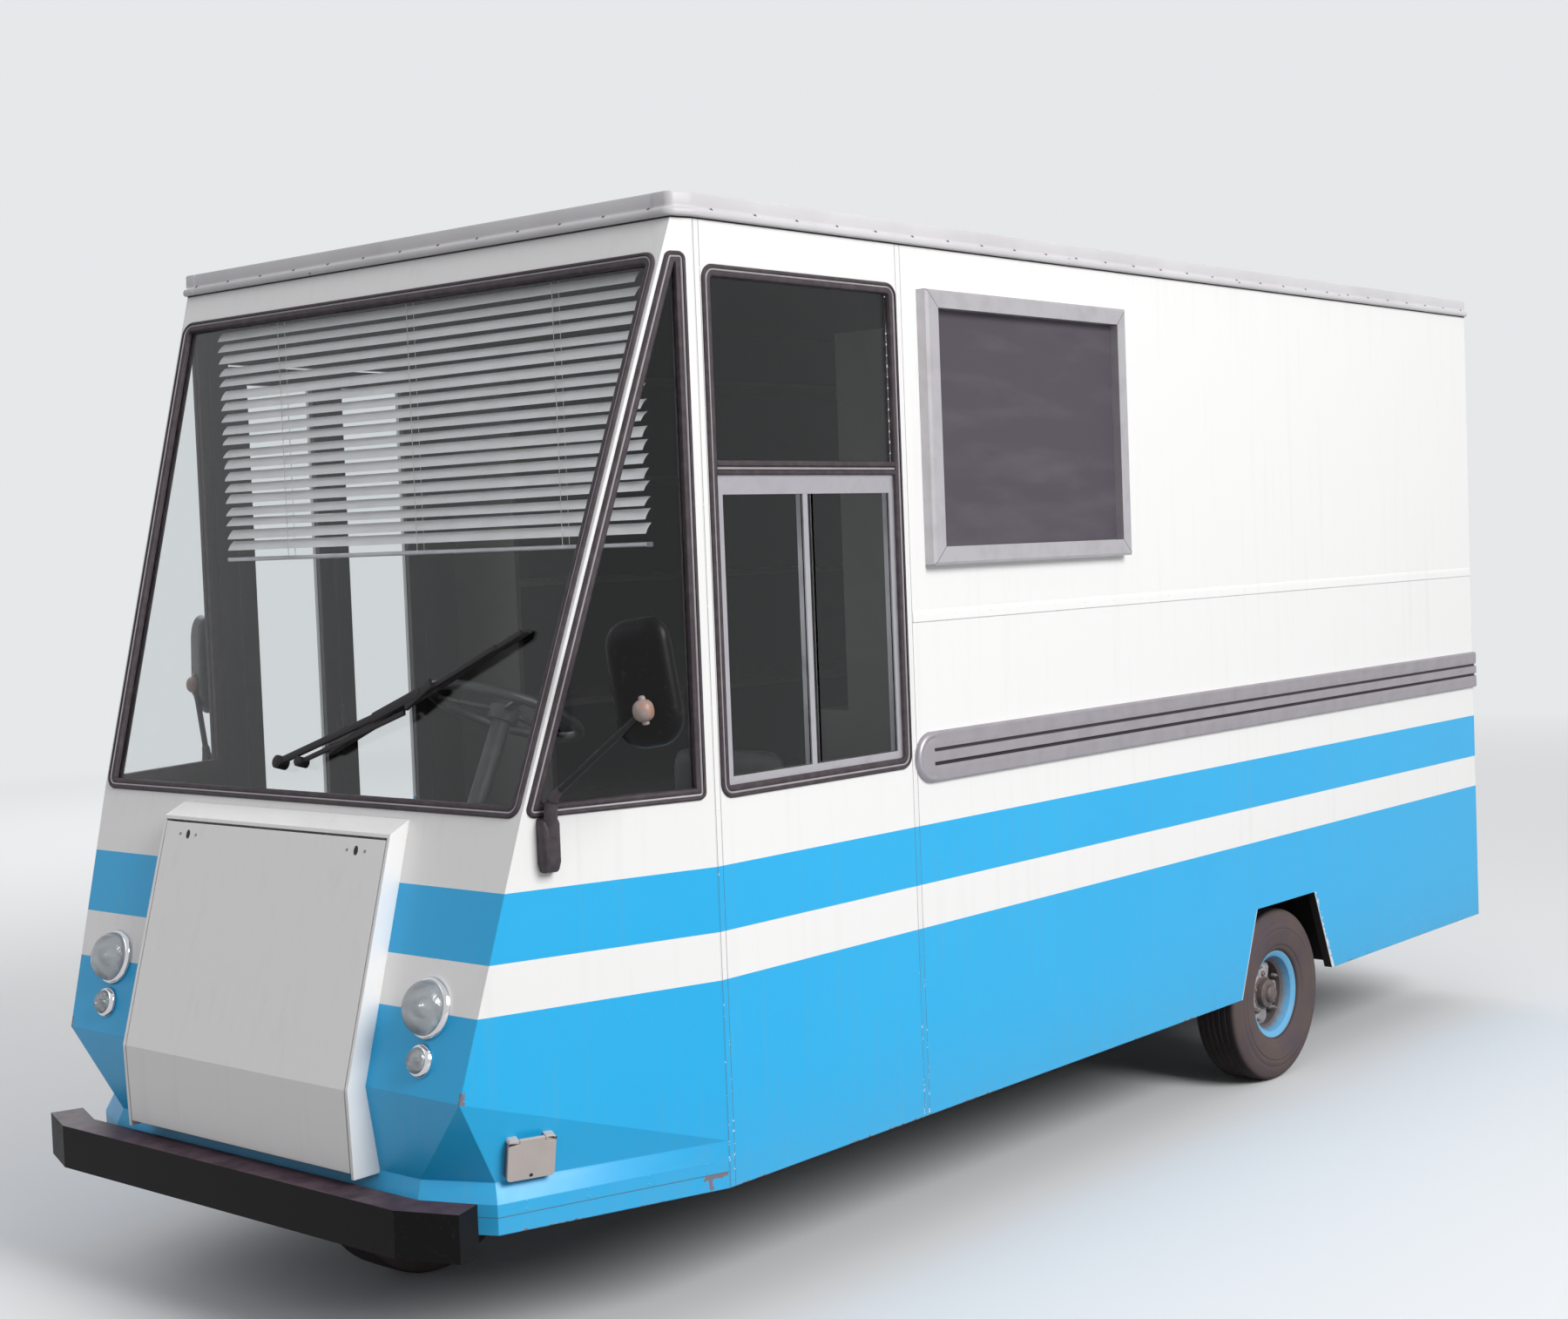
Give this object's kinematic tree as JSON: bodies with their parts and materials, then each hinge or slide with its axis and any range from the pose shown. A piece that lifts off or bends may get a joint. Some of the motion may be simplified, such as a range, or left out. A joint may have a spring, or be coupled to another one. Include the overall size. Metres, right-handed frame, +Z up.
{
  "type": "three-wheeled electric shop van",
  "caption": "Box-bodied electric shop van on one steered and driven front wheel and two rear wheels, with a faceted nose, large windscreen and folding entrance door.",
  "frame": {"origin": "on the ground, halfway along and across the van", "axes": "+X to the driver side (left of the van), -Y to the front, +Z up"},
  "size_m": [2.4148, 5.065, 2.7],
  "materials": {
    "white_paint": "gloss sprayed enamel, white",
    "two_tone_paint": "gloss sprayed enamel, white with sky blue bands",
    "roof_sheet": "matt weathered white roof coating",
    "aluminium_trim": "extruded, satin anodised",
    "black_rubber": "moulded rubber seal",
    "tyre_rubber": "weathered tread rubber",
    "rim_paint": "sky blue enamel, worn",
    "window_glass": "clear toughened glass",
    "chrome": "polished chromium plate",
    "black_paint": "semi-gloss black enamel",
    "chassis_paint": "matt black underbody paint",
    "slate": "matt dark writing surface",
    "blind_slat": "lacquered aluminium slats",
    "motor_paint": "grey machinery enamel",
    "battery_case": "black trays and cells",
    "dash_vinyl": "grained dark panel",
    "seat_vinyl": "black seat vinyl",
    "floor_sheet": "grey studded floor covering",
    "shelf_laminate": "white enamelled shelves",
    "grey_plastic": "light grey moulded plastic"
  },
  "bodies": {
    "body": {"battery_block": "battery_case", "blind": "blind_slat", "board_frame": "aluminium_trim", "board_slate": "slate", "bonnet_frame": "white_paint", "box_side_left": "two_tone_paint", "box_side_right": "two_tone_paint", "bumpers": "black_paint", "cab_side_left": "two_tone_paint", "charge_inlet": "grey_plastic", "chassis_frame": "chassis_paint", "dashboard": "dash_vinyl", "door_frame_right": "two_tone_paint", "driver_seat": "chassis_paint", "floor_pan": "floor_sheet", "lamps": "chrome", "mirrors": "black_paint", "nose_shell": "two_tone_paint", "rear_axle": "chassis_paint", "rear_wall": "two_tone_paint", "roof_panel": "roof_sheet", "roof_trim": "aluminium_trim", "seat_cushions": "seat_vinyl", "shelf_racks": "shelf_laminate", "side_glass": "window_glass", "side_mouldings": "aluminium_trim", "side_window_frame": "aluminium_trim", "window_seals": "black_rubber", "windscreen_glass": "window_glass", "wiper": "black_paint"},
    "bonnet": {"bonnet_panel": "white_paint"},
    "charge_lid": {"charge_flap": "grey_plastic"},
    "door_rear": {"door_leaf_rear": "two_tone_paint", "door_glass_rear": "window_glass"},
    "door_front": {"door_leaf_front": "two_tone_paint", "door_glass_front": "window_glass"},
    "steering_unit": {"steer_fork": "chassis_paint", "drive_motor": "motor_paint"},
    "front_wheel": {"front_tyre": "tyre_rubber", "front_rim": "rim_paint"},
    "rear_wheel_left": {"rear_tyre_left": "tyre_rubber", "rear_rim_left": "rim_paint"},
    "rear_wheel_right": {"rear_tyre_right": "tyre_rubber", "rear_rim_right": "rim_paint"},
    "hand_wheel": {"steering_wheel": "dash_vinyl"}
  },
  "joints": [
    {"name": "bonnet_hinge", "type": "hinge", "parent": "body", "child": "bonnet", "pos_m": [0, -2.46432, 0.462], "axis": [1, 0, 0], "range_deg": [0, 80]},
    {"name": "charge_lid_hinge", "type": "hinge", "parent": "body", "child": "charge_lid", "pos_m": [0.84945, -2.26806, 0.54151], "axis": [-0.3726, -0.928, 0], "range_deg": [0, 100]},
    {"name": "door_fold", "type": "hinge", "parent": "body", "child": "door_rear", "pos_m": [-1.001, -1.0365, 0], "axis": [0, 0, -1], "range_deg": [0, 84]},
    {"name": "door_leaf_hinge", "type": "hinge", "parent": "door_rear", "child": "door_front", "pos_m": [-0.955, -1.37599, 0], "axis": [0, 0, -1], "range_deg": [-168, 0]},
    {"name": "steering", "type": "hinge", "parent": "body", "child": "steering_unit", "pos_m": [0, -1.9135, 0.622], "axis": [0, 0, 1], "range_deg": [-60, 60]},
    {"name": "front_wheel_spin", "type": "hinge", "parent": "steering_unit", "child": "front_wheel", "pos_m": [0, -1.9135, 0.288], "axis": [1, 0, 0], "continuous": true},
    {"name": "rear_wheel_left_spin", "type": "hinge", "parent": "body", "child": "rear_wheel_left", "pos_m": [0.872, 0.9585, 0.288], "axis": [1, 0, 0], "continuous": true},
    {"name": "rear_wheel_right_spin", "type": "hinge", "parent": "body", "child": "rear_wheel_right", "pos_m": [-0.872, 0.9585, 0.288], "axis": [1, 0, 0], "continuous": true},
    {"name": "hand_wheel_turn", "type": "hinge", "parent": "body", "child": "hand_wheel", "pos_m": [0.36, -1.8675, 1.47], "axis": [0, 0.4226, 0.9063], "range_deg": [-541, 541]}
  ],
  "couplings": [
    {"joint": "door_leaf_hinge", "follows": "door_fold", "ratio": -2},
    {"joint": "hand_wheel_turn", "follows": "steering", "ratio": 9}
  ]
}
